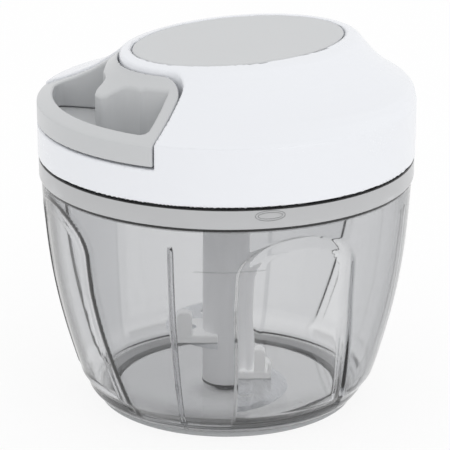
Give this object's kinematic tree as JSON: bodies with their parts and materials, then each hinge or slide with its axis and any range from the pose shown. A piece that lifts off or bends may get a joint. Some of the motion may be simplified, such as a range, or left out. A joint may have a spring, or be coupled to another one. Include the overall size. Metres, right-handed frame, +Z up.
{
  "type": "pull-cord food chopper",
  "caption": "Hand food chopper: clear smoke-grey bowl, steel blades on a spindle, white lid with oval grey pad and a grey loop handle that pulls a cord.",
  "frame": {"origin": "centre of the foot ring's underside, on the bowl's axis", "axes": "+Z up along the bowl's and spindle's axis; the handle pulls towards -Y; +X to the right seen from the handle"},
  "size_m": [0.132, 0.132, 0.1304],
  "materials": {
    "smoke_clear": "clear smoke-grey plastic, polished",
    "foot_grey": "grey non-slip rubber, satin",
    "steel": "bright steel",
    "blade_steel": "ground stainless steel",
    "spring_steel": "blued spring steel strip",
    "spindle_plastic": "light grey plastic, satin",
    "bar_plastic": "pale grey plastic, satin",
    "bush_plastic": "natural acetal",
    "lid_white": "white plastic, semi-gloss",
    "inner_white": "white plastic",
    "pad_grey": "grey soft-touch plastic",
    "handle_grey": "grey plastic, satin",
    "liner_grey": "grey plastic, matte",
    "seal_silicone": "pale translucent silicone",
    "cord": "braided white nylon cord",
    "eyelet": "hard white plastic",
    "drive_plastic": "natural plastic"
  },
  "bodies": {
    "bowl": {"bowl": "smoke_clear", "base_ring": "foot_grey", "pivot_pin": "steel"},
    "seal": {"lid_seal": "seal_silicone"},
    "lid": {"lid_shell": "lid_white", "top_pad": "pad_grey", "dock_liner": "liner_grey", "lid_base": "inner_white", "lid_plug": "inner_white", "lid_screws": "steel", "pull_cord_inner": "cord", "cord_eyelet": "eyelet", "spool_axle": "steel", "spring_cup": "drive_plastic", "recoil_spring": "spring_steel", "drive_cover": "drive_plastic"},
    "handle": {"pull_handle": "handle_grey", "cord_knot": "cord", "pull_cord_lead": "cord"},
    "spool": {"spool": "drive_plastic", "pull_cord_wound": "cord", "clutch_rollers": "steel", "drive_socket": "drive_plastic"},
    "bush": {"foot_bush": "bush_plastic"},
    "spindle": {"blade_spindle": "spindle_plastic", "cross_bar": "bar_plastic", "lower_blade": "blade_steel", "upper_blade": "blade_steel", "blade_rivets": "steel"}
  },
  "joints": [
    {"name": "lid_lift", "type": "slide", "parent": "bowl", "child": "seal", "axis": [0, 0, 1], "range_m": [0, 0.15]},
    {"name": "lid_turn", "type": "hinge", "parent": "seal", "child": "lid", "pos_m": [0, 0, 0.0898], "axis": [0, 0, 1], "range_deg": [0, 20]},
    {"name": "handle_pull", "type": "slide", "parent": "lid", "child": "handle", "axis": [0, -1, 0], "range_m": [0, 0.36], "stiffness_N_per_m": 8, "springref_m": -0.4, "deforming": ["pull_cord_lead"]},
    {"name": "spool_spin", "type": "hinge", "parent": "lid", "child": "spool", "pos_m": [0, 0, 0.1108], "axis": [0, 0, 1], "continuous": true},
    {"name": "spindle_lift", "type": "slide", "parent": "bowl", "child": "bush", "axis": [0, 0, 1], "range_m": [0, 0.08]},
    {"name": "spindle_spin", "type": "hinge", "parent": "bush", "child": "spindle", "pos_m": [0, 0, 0.02], "axis": [0, 0, 1], "continuous": true}
  ],
  "couplings": [
    {"joint": "spool_spin", "follows": "handle_pull", "rad_per_m": 49.505},
    {"joint": "spindle_spin", "follows": "handle_pull", "rad_per_m": 49.505},
    {"joint": "spindle_lift", "follows": "lid_lift", "ratio": 0.5}
  ]
}
